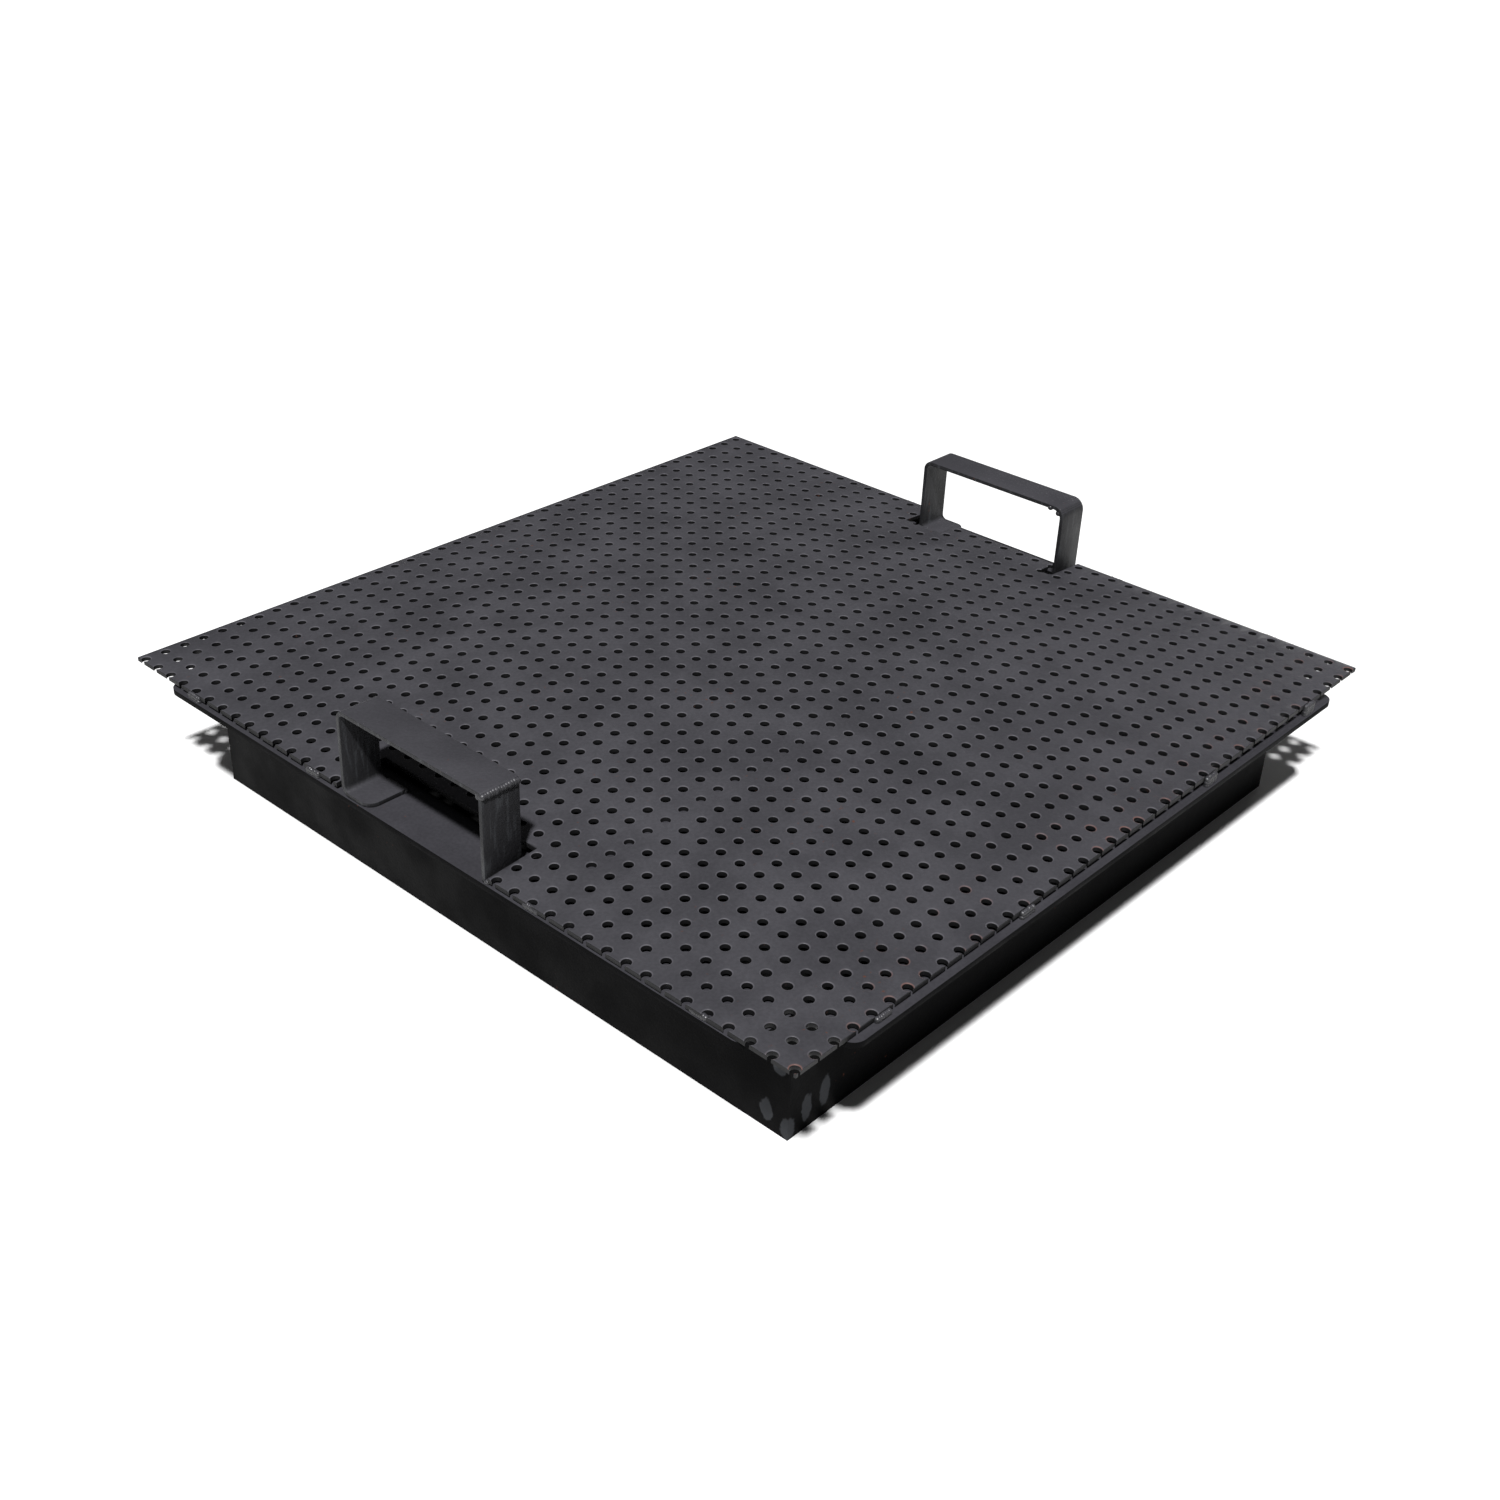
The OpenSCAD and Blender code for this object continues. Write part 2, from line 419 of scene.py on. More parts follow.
@dataclass(frozen=True)
class PerforatedPaint(WornPaint):
    """The sheet's paint: a painted highlight on the rolled rims of the holes, with rust near the front."""

    grid: HoleGrid = HoleGrid((0, 0), 1, 1, 1, 1, 1)
    seating: Seating = Seating()
    rust_line: float = 0.0
    RIM: Colour = field(default=(0.078, 0.076, 0.086, 1), init=False)
    TINT: Colour = field(default=(0.115, 0.062, 0.055, 1), init=False)

    def rim_mask(self, shader: Shader) -> bpy.types.NodeSocket:
        """A ring round every hole.

        Args:
            shader: The material being made.

        Returns:
            The ring's strength.
        """
        corner = tuple(c - self.grid.pitch / 2 for c in self.grid.first)
        unseated = shader.add("ShaderNodeMapping", vector_type="TEXTURE")
        for name, value in (("Vector", shader.place), ("Location", (*self.seating.shift, 0)),
                            ("Rotation", (0, 0, math.radians(self.seating.turn)))):
            shader.feed(unseated.inputs[name], value)
        steps = []
        for name, start in zip("XY", corner):
            along = shader.math("SUBTRACT", shader.axis(unseated.outputs["Vector"], name), start)
            within = shader.math("FLOORED_MODULO", along, self.grid.pitch)
            steps.append(shader.math("POWER", shader.math("SUBTRACT", within, self.grid.pitch / 2), 2.0))
        away = shader.math("SQRT", shader.math("ADD", *steps))
        inner, outer = self.grid.radius, self.grid.radius + 2 * self.grid.rim
        ring = shader.ramp(away, inner + 0.4 * self.grid.rim, outer, 1.0, 0.0)
        return shader.math("MULTIPLY", ring, shader.ramp(shader.axis(shader.normal, "Z"), 0.2, 0.7))

    def material(self) -> bpy.types.Material:
        """Makes the material."""
        shader = Shader(self.name)
        colour, cloud = self.base(shader)
        ring = self.rim_mask(shader)
        # Painted highlight: a patchy, lighter bluish ring on the upward rims of the holes stands in for
        # light caught by the rolled edges.
        rim_highlight = shader.math("MULTIPLY", ring, shader.ramp(shader.noise(mm(18), 3.0), 0.35, 0.62, 0.35, 1.0))
        colour = shader.mix(rim_highlight, colour, self.RIM)
        depth = shader.math("SUBTRACT", shader.axis(shader.place, "Y"), self.rust_line)
        near_front = shader.ramp(depth, 0.0, mm(70), 1.0, 0.0)
        patches = shader.ramp(shader.noise(mm(25), 3.0), 0.48, 0.66)
        tint = shader.math("MULTIPLY", shader.math("MULTIPLY", near_front, patches), ring)
        colour = shader.mix(tint, colour, self.TINT)
        rough = shader.ramp(cloud, 0.3, 0.7, self.gloss, self.matt)
        return shader.finish(colour, rough, shader.noise(mm(1.6), 2.0), self.relief, self.shine)


# ---------------------------------------------------------------- meshes


def plain_mesh(name: str, bm: bmesh.types.BMesh) -> bpy.types.Mesh:
    """Turns a bmesh into a mesh that holds nothing but its shape, and frees it.

    Args:
        name: The mesh's name.
        bm: The bmesh.

    Returns:
        The mesh.
    """
    bm.verts.index_update()
    mesh = bpy.data.meshes.new(name)
    mesh.from_pydata([v.co[:] for v in bm.verts], [], [[v.index for v in f.verts] for f in bm.faces])
    mesh.update()
    bm.free()
    return mesh


def add_object(name: str, mesh: bpy.types.Mesh) -> bpy.types.Object:
    """Puts a mesh in the scene.

    Args:
        name: The object's name.
        mesh: Its mesh, already in place.

    Returns:
        The object, at the origin.
    """
    piece = bpy.data.objects.new(name, mesh)
    bpy.context.scene.collection.objects.link(piece)
    return piece


def smooth_by_angle(mesh: bpy.types.Mesh, degrees: float = 35.0) -> None:
    """Shades a mesh smooth, apart from its sharp edges.

    Args:
        mesh: The mesh.
        degrees: The least angle of a sharp edge.
    """
    mesh.polygons.foreach_set("use_smooth", [True] * len(mesh.polygons))
    mesh.set_sharp_from_angle(angle=math.radians(degrees))


def settled(piece: bpy.types.Object) -> None:
    """Makes what a piece's modifiers give its own mesh, and removes them.

    Args:
        piece: The object.
    """
    graph = bpy.context.evaluated_depsgraph_get()
    graph.update()
    mesh = bpy.data.meshes.new_from_object(piece.evaluated_get(graph))
    piece.modifiers.clear()
    piece.data = mesh


def dress(piece: bpy.types.Object, material: bpy.types.Material, slot: Slot, *nodes: str) -> None:
    """Finishes a piece, says what it stands for and reports it.

    Args:
        piece: The object.
        material: Its material.
        slot: The record's slot; not used.
        *nodes: The CAD nodes that it replaces.
    """
    piece.data.materials.clear()
    piece.data.materials.append(material)
    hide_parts(*nodes)
    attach(piece, BODY)
    piece.data.calc_loop_triangles()
    LOG.info("%s: %d triangles", piece.name, len(piece.data.loop_triangles))


def refined_copy(node: str, name: str, edge: float) -> bpy.types.Object:
    """Copies a CAD node's shape and eases its edges.

    Args:
        node: The CAD node.
        name: The new piece's name.
        edge: Width of the eased edges.

    Returns:
        The new object.
    """
    flat_angle, easing_angle = math.radians(0.5), 40.0
    bm = bmesh.new()
    bm.from_mesh(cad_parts[node].data)
    bmesh.ops.remove_doubles(bm, verts=bm.verts, dist=mm(0.002))
    bmesh.ops.dissolve_limit(bm, angle_limit=flat_angle, verts=bm.verts, edges=bm.edges)
    bmesh.ops.recalc_face_normals(bm, faces=bm.faces)
    piece = add_object(name, plain_mesh(name, bm))
    bevel = piece.modifiers.new("eased edges", "BEVEL")
    bevel.width = edge
    bevel.segments = 2
    bevel.limit_method = "ANGLE"
    bevel.angle_limit = math.radians(easing_angle)
    settled(piece)
    smooth_by_angle(piece.data)
    return piece


class PatternTree:
    """A Geometry Nodes tree with named inputs, whose result becomes a plain mesh."""

    def __init__(self, name: str) -> None:
        """Starts the tree.

        Args:
            name: The tree's name.
        """
        self.tree = bpy.data.node_groups.new(name, "GeometryNodeTree")
        self.tree.is_modifier = True
        face = self.tree.interface
        face.new_socket(name="Geometry", in_out="OUTPUT", socket_type="NodeSocketGeometry")
        face.new_socket(name="Geometry", in_out="INPUT", socket_type="NodeSocketGeometry")
        self.given = self.tree.nodes.new("NodeGroupInput")
        self.values: dict[str, object] = {}

    def input(self, name: str, kind: str, value: object) -> bpy.types.NodeSocket:
        """Adds a named input.

        Args:
            name: The input's name.
            kind: Float or Int.
            value: What it is set to.

        Returns:
            The socket to link from.
        """
        item = self.tree.interface.new_socket(name=name, in_out="INPUT", socket_type="NodeSocket" + kind)
        self.values[item.identifier] = value
        return self.given.outputs[name]

    def add(self, kind: str, links: dict[str, object] | None = None, **settings: object
            ) -> bpy.types.Node:
        """Adds a node.

        Args:
            kind: The node's type name.
            links: What feeds its inputs, by their names.
            **settings: Properties to set on the node.

        Returns:
            The new node.
        """
        node = self.tree.nodes.new(kind)
        for key, value in settings.items():
            setattr(node, key, value)
        for name, value in (links or {}).items():
            socket = node.inputs[name]
            if isinstance(value, bpy.types.NodeSocket):
                self.tree.links.new(value, socket)
            else:
                socket.default_value = value
        return node

    def apply(self, piece: bpy.types.Object, result: bpy.types.NodeSocket,
              material: bpy.types.Material) -> None:
        """Ends the tree, runs it on an object and keeps what it gives as a plain mesh.

        Args:
            piece: The object whose mesh the tree starts from.
            result: The geometry that the tree ends with.
            material: The material that it sets.
        """
        real = self.add("GeometryNodeRealizeInstances", {"Geometry": result})
        painted = self.add("GeometryNodeSetMaterial",
                           {"Geometry": real.outputs["Geometry"], "Material": material})
        end = self.tree.nodes.new("NodeGroupOutput")
        self.tree.links.new(painted.outputs["Geometry"], end.inputs["Geometry"])
        modifier = piece.modifiers.new(self.tree.name, "NODES")
        modifier.node_group = self.tree
        for identifier, value in self.values.items():
            modifier[identifier] = value
        settled(piece)


# ---------------------------------------------------------------- the sheet


@dataclass(frozen=True)
class Camber:
    """How high the sheet stands over its flat place.

    Attributes:
        half: Half the sheet's width.
        crown: Rise of its middle over its corners.
        power: How flat the top of the crown is.
        front: How far the left and right ends of its front edge stand off the flange.
        back: The same for its back edge.
    """

    half: float
    crown: float = mm(10.8)
    power: float = 2.2
    front: tuple[float, float] = (mm(0.5), mm(6.5))
    back: tuple[float, float] = (mm(2.5), mm(5.0))

    def height(self, x: np.ndarray, y: np.ndarray) -> np.ndarray:
        """The rise at some places.

        Args:
            x: Their X.
            y: Their Y.

        Returns:
            The rise at each.
        """
        u, v = (np.clip(np.abs(c) / self.half, 0, 1) ** self.power for c in (x, y))
        right, back = (np.clip((1 + c / self.half) / 2, 0, 1) for c in (x, y))
        along_front = self.front[0] * (1 - right) + self.front[1] * right
        along_back = self.back[0] * (1 - right) + self.back[1] * right
        return self.crown * (1 - u) * (1 - v) + along_front * (1 - back) + along_back * back


@dataclass
class PerforatedSheet:
    """The cover's top: a steel sheet with a square grid of holes and two cut-outs.

    Attributes:
        camber: Its rise.
        seating: How it lies.
        pitch: Distance between hole centres.
        hole_d: Diameter of a hole.
        rim: Width of the rolled edge round a hole.
        first_left: From the left edge to the first hole centres.
        first_front: From the front edge to the first hole centres.
        notch_back: Free space behind a handle.
        notch_side: Free space at each end of a handle.
        tongue: How far the sheet reaches out under the right grip, past the back of the bar.
        edge: Width of the eased outer edges.
        sides: Sides of a hole's outline, a multiple of 4.
    """

    camber: Camber
    seating: Seating = Seating()
    pitch: float = mm(15)
    hole_d: float = mm(6)
    rim: float = mm(0.55)
    first_left: float = mm(2.6)
    first_front: float = mm(2.85)
    notch_back: float = mm(11)
    notch_side: float = mm(4)
    tongue: float = mm(10)
    edge: float = mm(0.35)
    sides: int = 16

    def __post_init__(self) -> None:
        """Reads the sheet's place from its CAD node."""
        self.low, self.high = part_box("perforated_sheet")
        self.thick = self.high.z - self.low.z
        columns, rows = (
            math.ceil((self.high[i] - self.low[i]) / self.pitch) for i in (0, 1)
        )
        first = (self.low.x + self.first_left, self.low.y + self.first_front)
        self.grid = HoleGrid(first, self.pitch, self.hole_d / 2, self.rim, columns, rows)

    def cell(self) -> bpy.types.Mesh:
        """One square of sheet round one hole, centred on the origin, open at its sides."""
        half, radius, rim = self.pitch / 2, self.hole_d / 2, self.rim
        quarter = self.sides // 4
        bm = bmesh.new()

        def ring(size: float, z: float) -> list[bmesh.types.BMVert]:
            """A ring of vertices round the hole."""
            turns = [2 * math.pi * i / self.sides for i in range(self.sides)]
            return [bm.verts.new((size * math.cos(a), size * math.sin(a), z)) for a in turns]

        def corners(z: float) -> list[bmesh.types.BMVert]:
            """The cell's four corners, each in the middle of its quarter."""
            return [bm.verts.new((half * sx, half * sy, z))
                    for sx, sy in ((1, 1), (-1, 1), (-1, -1), (1, -1))]

        def flat(square: list, circle: list) -> None:
            """The flat between the cell's corners and a ring."""
            for k, corner in enumerate(square):
                for i in range(quarter):
                    start = k * quarter + i
                    bm.faces.new((corner, circle[(start + 1) % self.sides], circle[start]))
                bm.faces.new((square[k - 1], corner, circle[k * quarter]))

        def wall(upper: list, lower: list) -> None:
            """A band between two rings."""
            for i in range(self.sides):
                j = (i + 1) % self.sides
                bm.faces.new((upper[i], upper[j], lower[j], lower[i]))

        top_ring = ring(radius + rim, self.thick)
        neck = ring(radius, self.thick - rim)
        bottom_ring = ring(radius, 0.0)
        flat(corners(self.thick), top_ring)
        wall(top_ring, neck)
        wall(neck, bottom_ring)
        flat(corners(0.0), bottom_ring)
        bm.verts.ensure_lookup_table()
        return plain_mesh("hole cell", bm)

    def outline(self, inset: float) -> list[tuple[float, float]]:
        """The sheet's outline, anticlockwise.

        Args:
            inset: How far inside the true outline it runs.

        Returns:
            Its corners.
        """
        left, right = self.low.x + inset, self.high.x - inset
        front, back = self.low.y + inset, self.high.y - inset
        grip_low, grip_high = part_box("handle_bar_left")
        deep = grip_high.x + self.notch_back + inset
        near = grip_low.y - self.notch_side - inset
        far = grip_high.y + self.notch_side + inset
        foot_end = min(v.co.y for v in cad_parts["handle_bar_left"].data.vertices
                       if v.co.z < grip_low.z + mm(0.1))
        tip = self.tongue - grip_high.x - inset
        tip_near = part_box("handle_post_left")[1].y + self.notch_side + inset
        tip_far = foot_end - self.notch_side - inset
        return [(left, front), (right, front), (right, near), (-deep, near), (-deep, tip_near),
                (tip, tip_near), (tip, tip_far), (-deep, tip_far), (-deep, far),
                (right, far), (right, back), (left, back), (left, far), (deep, far),
                (deep, near), (left, near)]

    def blank(self) -> bpy.types.Object:
        """The solid that the grid of cells is trimmed to, drawn in at its top to ease the edge."""
        over = mm(1)
        levels = ((-over, 0.0), (self.thick - self.edge, 0.0), (self.thick + over, self.edge + over))
        bm = bmesh.new()
        rings = [[bm.verts.new((x, y, z)) for x, y in self.outline(inset)] for z, inset in levels]
        for lower, upper in zip(rings, rings[1:]):
            for i in range(len(lower)):
                j = (i + 1) % len(lower)
                bm.faces.new((lower[i], lower[j], upper[j], upper[i]))
        bm.faces.new(list(reversed(rings[0])))
        bm.faces.new(rings[-1])
        bmesh.ops.triangulate(bm, faces=bm.faces)
        return add_object("sheet blank", plain_mesh("sheet blank", bm))

    def punched(self, material: bpy.types.Material) -> bpy.types.Object:
        """The untrimmed grid of cells.

        Args:
            material: Its material.

        Returns:
            The new object.
        """
        piece = add_object("sheet", self.cell())
        tree = PatternTree("punched holes")
        pitch = tree.input("Pitch", "Float", self.pitch)
        columns = tree.input("Columns", "Int", self.grid.columns)
        rows = tree.input("Rows", "Int", self.grid.rows)

        def span(count: bpy.types.NodeSocket) -> bpy.types.NodeSocket:
            """The distance from the first centre to the last."""
            steps = tree.add("ShaderNodeMath", {0: count, 1: 1.0}, operation="SUBTRACT")
            length = tree.add("ShaderNodeMath", {0: steps.outputs[0], 1: pitch}, operation="MULTIPLY")
            return length.outputs[0]

        grid = tree.add("GeometryNodeMeshGrid", {"Size X": span(columns), "Size Y": span(rows),
                                                 "Vertices X": columns, "Vertices Y": rows})
        placed = tree.add("GeometryNodeInstanceOnPoints",
                          {"Points": grid.outputs["Mesh"], "Instance": tree.given.outputs["Geometry"]})
        joined = tree.add("GeometryNodeRealizeInstances", {"Geometry": placed.outputs["Instances"]})
        merged = tree.add("GeometryNodeMergeByDistance",
                          {"Geometry": joined.outputs["Geometry"], "Distance": mm(0.01)})
        tree.apply(piece, merged.outputs["Geometry"], material)
        return piece

    def closed(self, piece: bpy.types.Object) -> None:
        """Moves the grid to its place and walls its outer sides.

        Args:
            piece: The grid of cells, centred on the origin.
        """
        half_span = [self.pitch * (n - 1) / 2 for n in (self.grid.columns, self.grid.rows)]
        middle = Vector((self.grid.first[0] + half_span[0], self.grid.first[1] + half_span[1], 0))
        bm = bmesh.new()
        bm.from_mesh(piece.data)
        bmesh.ops.translate(bm, verts=bm.verts, vec=middle)
        bmesh.ops.bridge_loops(bm, edges=[e for e in bm.edges if e.is_boundary])
        bmesh.ops.recalc_face_normals(bm, faces=bm.faces)
        piece.data = plain_mesh("sheet", bm)

    def build(self, material: bpy.types.Material) -> bpy.types.Object:
        """Makes the sheet.

        Args:
            material: Its material.

        Returns:
            The new object.
        """
        piece = self.punched(material)
        self.closed(piece)
        blank = self.blank()
        trim = piece.modifiers.new("trim", "BOOLEAN")
        trim.operation = "INTERSECT"
        trim.solver = "MANIFOLD"
        trim.object = blank
        settled(piece)
        bpy.data.objects.remove(blank)
        count = len(piece.data.vertices)
        points = np.empty(count * 3)
        piece.data.vertices.foreach_get("co", points)
        points = points.reshape(-1, 3)
        points[:, 2] += self.low.z + self.camber.height(points[:, 0], points[:, 1])
        piece.data.vertices.foreach_set("co", self.seating.move(points).ravel())
        piece.data.update()
        smooth_by_angle(piece.data, 50.0)
        weighted = piece.modifiers.new("flat faces lead", "WEIGHTED_NORMAL")
        weighted.keep_sharp = True
        dress(piece, material, Slot.SHEET, "perforated_sheet")
        return piece


# ---------------------------------------------------------------- the frame


@dataclass
class FrameAngles:
    """The four folded angles whose skirts and flanges make the box frame.

    Attributes:
        edge: Width of their eased edges.
    """

    edge: float = mm(0.7)

    def build(self, material: bpy.types.Material) -> None:
        """Makes the four angles.

        Args:
            material: Their material.
        """
        for side in Side:
            node = "frame_angle_" + side.label
            piece = refined_copy(node, "angle_" + side.label, self.edge)
            dress(piece, material, Slot.FRAME, node)


@dataclass
class Stiffeners:
    """The two flat bars on edge, whose tops follow the sheet's camber.

    Attributes:
        camber: The sheet's rise.
        steps: Lengths that a bar is divided into.
        edge: Width of their eased edges.
    """

    camber: Camber
    steps: int = 48
    edge: float = mm(0.4)

    def bar(self, node: str, name: str) -> bpy.types.Object:
        """Makes one bar.

        Args:
            node: The CAD node that gives its place.
            name: The piece's name.

        Returns:
            The new object.
        """
        low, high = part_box(node)
        clearance = mm(0.1)
        bm = bmesh.new()
        sections = []
        for x in np.linspace(low.x, high.x, self.steps + 1):
            rise = min(float(self.camber.height(np.array([x]), np.array([y]))[0]) for y in (low.y, high.y))
            corners = ((low.y, low.z), (high.y, low.z), (high.y, high.z + rise - clearance),
                       (low.y, high.z + rise - clearance))
            sections.append([bm.verts.new((x, y, z)) for y, z in corners])
        for one, two in zip(sections, sections[1:]):
            for i in range(4):
                j = (i + 1) % 4
                bm.faces.new((one[i], one[j], two[j], two[i]))
        bm.faces.new(sections[0])
        bm.faces.new(list(reversed(sections[-1])))
        bmesh.ops.recalc_face_normals(bm, faces=bm.faces)
        piece = add_object(name, plain_mesh(name, bm))
        bevel = piece.modifiers.new("eased edges", "BEVEL")
        bevel.width = self.edge
        bevel.segments = 2
        bevel.angle_limit = math.radians(40)
        settled(piece)
        smooth_by_angle(piece.data)
        return piece

    def build(self, material: bpy.types.Material) -> None:
        """Makes both bars.

        Args:
            material: Their material.
        """
        for side in (Side.FRONT, Side.BACK):
            node = "stiffener_" + side.label
            dress(self.bar(node, "stiffener_bar_" + side.label), material, Slot.FRAME, node)


# ---------------------------------------------------------------- the handles


@dataclass(frozen=True)
class RoundedCorner:
    """Turns the square top corner over a handle's plain leg into a bend.

    Attributes:
        y: Where the corner's outside is.
        z: How high its top is.
        radius: The bend's outside radius.
        steps: Flats that the bend is made of.
    """

    y: float
    z: float
    radius: float
    steps: int = 8

    def bend(self, point: Vector) -> Vector:
        """Moves a point from its place at the square corner to the bend.

        Args:
            point: The point.

        Returns:
            Its new place.
        """
        out, up = self.y + self.radius - point.y, point.z - self.z + self.radius
        if out <= 0 or up <= 0:
            return point.copy()
        share = max(out, up) / math.hypot(out, up)
        return Vector((point.x, self.y + self.radius - out * share, self.z - self.radius + up * share))

    def apply(self, piece: bpy.types.Object) -> None:
        """Bends a piece.

        Args:
            piece: The object.
        """
        bm = bmesh.new()
        bm.from_mesh(piece.data)
        for k in range(self.steps + 1):
            inwards = k * self.radius / self.steps
            cuts = (((0, self.y + inwards, 0), (0, 1, 0)), ((0, 0, self.z - inwards), (0, 0, 1)))
            for place, normal in cuts:
                bmesh.ops.bisect_plane(bm, geom=bm.verts[:] + bm.edges[:] + bm.faces[:], dist=mm(0.02),
                                       plane_co=place, plane_no=normal)
        for vert in bm.verts:
            vert.co = self.bend(vert.co)
        bmesh.ops.recalc_face_normals(bm, faces=bm.faces)
        piece.data = plain_mesh(piece.name, bm)
        smooth_by_angle(piece.data)


@dataclass
class LiftingHandle:
    """A rigid handle of flat bar: a bent bar, and a plain leg welded under its other end.

    Attributes:
        side: The side that it stands on.
        end_radius: Rounding of the top corner over the plain leg.
        edge: Width of the eased edges.
    """

    side: Side
    end_radius: float
    edge: float = mm(0.45)

    @property
    def corner(self) -> RoundedCorner:
        """The top corner over the plain leg."""
        low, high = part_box("handle_bar_" + self.side.label)
        return RoundedCorner(low.y, high.z, self.end_radius)

    def build(self, material: bpy.types.Material) -> None:
        """Makes the handle's bar and leg.

        Args:
            material: Their material.
        """
        for node, part in (("handle_bar_", "grip_"), ("handle_post_", "leg_")):
            piece = refined_copy(node + self.side.label, part + self.side.label, self.edge)
            self.corner.apply(piece)
            dress(piece, material, Slot.HANDLE, node + self.side.label)


# ---------------------------------------------------------------- the welds


@dataclass(frozen=True)
class Bead:
    """The line that one weld bead follows.

    Attributes:
        start: One end.
        end: The other end.
        radius: The bead's radius.
    """

    start: Vector
    end: Vector
    radius: float


@dataclass
class WeldBeads:
    """Weld beads laid as rows of overlapping drops.

    Attributes:
        camber: The sheet's rise.
        seating: How the sheet lies.
        handles: The two handles.
        step: Distance between drops, as a share of their radius.
        seed: Seed of their unevenness.
        inside: Least distance of a tack's line from the flange's outer edge.
        drip: Distance of the drip under the right grip from the corner bead.
    """

    camber: Camber
    seating: Seating
    handles: tuple[LiftingHandle, ...]
    step: float = 0.62
    seed: int = 7
    inside: float = mm(2.4)
    drip: float = mm(9)

    def islands(self, node: str) -> list[list[Vector]]:
        """The vertices of each separate solid of a CAD node.

        Args:
            node: The CAD node.

        Returns:
            One list of points for each solid.
        """
        bm = bmesh.new()
        bm.from_mesh(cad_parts[node].data)
        bmesh.ops.remove_doubles(bm, verts=bm.verts, dist=mm(0.002))
        left, found = set(bm.verts), []
        while left:
            stack, group = [left.pop()], []
            while stack:
                vert = stack.pop()
                group.append(vert.co.copy())
                for other in (e.other_vert(vert) for e in vert.link_edges):
                    if other in left:
                        left.remove(other)
                        stack.append(other)
            found.append(group)
        bm.free()
        return sorted(found, key=lambda g: tuple(round(c, 5) for c in g_low(g)))

    def bead(self, points: list[Vector]) -> Bead:
        """The line in the corner that a fillet bead fills, drawn a little out of it.

        Args:
            points: The vertices of the bead's solid.

        Returns:
            The line.
        """
        low, high = g_low(points), g_high(points)
        size = high - low
        along = max(range(3), key=lambda i: size[i])
        a, b = (i for i in range(3) if i != along)
        near = mm(0.05)

        def filled(pa: float, pb: float) -> bool:
            """Whether a vertex lies at this corner of the bead's box."""
            return any(abs(p[a] - pa) < near and abs(p[b] - pb) < near for p in points)

        empty = next(((pa, pb) for pa in (low[a], high[a]) for pb in (low[b], high[b])
                      if not filled(pa, pb)))
        radius = min(size[a], size[b])
        corner = (low[a] + high[a] - empty[0], low[b] + high[b] - empty[1])
        out = 0.22
        start, end = low.copy(), high.copy()
        for i, c, e in ((a, corner[0], empty[0]), (b, corner[1], empty[1])):
            start[i] = end[i] = c + (e - c) * out
        tip = 0.5 * radius
        start[along], end[along] = low[along] + tip, high[along] - tip
        return Bead(start, end, radius)

    def lay(self, node: str, name: str, material: bpy.types.Material,
            runs: Callable[[Bead], list[Bead]] = lambda bead: [bead]) -> None:
        """Lays a CAD node's beads.

        Args:
            node: The CAD node.
            name: The piece's name.
            material: Their material.
            runs: Gives the lines that a bead is laid in.
        """
        beads = [run for points in self.islands(node) for run in runs(self.bead(points))]
        radius = beads[0].radius
        mesh = bpy.data.meshes.new(name)
        ends = [p for bead in beads for p in (bead.start, bead.end)]
        mesh.from_pydata([p[:] for p in ends], [(2 * i, 2 * i + 1) for i in range(len(beads))], [])
        piece = add_object(name, mesh)
        self.drops(piece, radius, material)
        smooth_by_angle(piece.data, 80.0)
        dress(piece, material, Slot.WELD, node)

    def drops(self, piece: bpy.types.Object, radius: float, material: bpy.types.Material) -> None:
        """Replaces an object's lines by rows of drops.

        Args:
            piece: The object.
            radius: The drops' radius.
            material: Their material.
        """
        tree = PatternTree("weld drops")
        size = tree.input("Radius", "Float", radius)
        step = tree.input("Step", "Float", radius * self.step)
        seed = tree.input("Seed", "Int", self.seed)
        line = tree.add("GeometryNodeMeshToCurve", {"Mesh": tree.given.outputs["Geometry"]})
        spaced = tree.add("GeometryNodeResampleCurve", {"Curve": line.outputs["Curve"], "Length": step},
                          mode="LENGTH")
        drop = tree.add("GeometryNodeMeshIcoSphere", {"Radius": size, "Subdivisions": 2})
        heading = tree.add("GeometryNodeInputTangent")
        facing = tree.add("FunctionNodeAlignRotationToVector", {"Vector": heading.outputs["Tangent"]},
                          axis="X")
        uneven = tree.add("FunctionNodeRandomValue", {"Seed": seed}, data_type="FLOAT_VECTOR")
        smallest, largest = (0.66, 0.68, 0.68), (0.84, 0.88, 0.88)
        uneven.inputs[0].default_value = smallest
        uneven.inputs[1].default_value = largest
        row = tree.add("GeometryNodeInstanceOnPoints",
                       {"Points": spaced.outputs["Curve"], "Instance": drop.outputs["Mesh"],
                        "Rotation": facing.outputs["Rotation"], "Scale": uneven.outputs[0]})
        tree.apply(piece, row.outputs["Instances"], material)

    def up_to_sheet(self, tack: Bead) -> list[Bead]:
        """Lines that fill the gap between the flange and the sheet's edge.

        Args:
            tack: The tack weld's line with the sheet in its flat place.

        Returns:
            Its lines, from the flange upwards.
        """
        middle = (tack.start + tack.end) / 2
        rise = float(self.camber.height(np.array([middle.x]), np.array([middle.y]))[0])
        levels = 1 + math.ceil(rise / tack.radius)
        ends = []
        for point in self.seating.move(np.array([tack.start[:], tack.end[:]])):
            x, y = (min(max(point[i], CAD_BOX[0][i] + self.inside), CAD_BOX[1][i] - self.inside)
                    for i in (0, 1))
            ends.append(Vector((x, y, point[2])))
        steps = [Vector((0, 0, rise * k / max(levels - 1, 1))) for k in range(levels)]
        return [Bead(ends[0] + step, ends[1] + step, tack.radius) for step in steps]

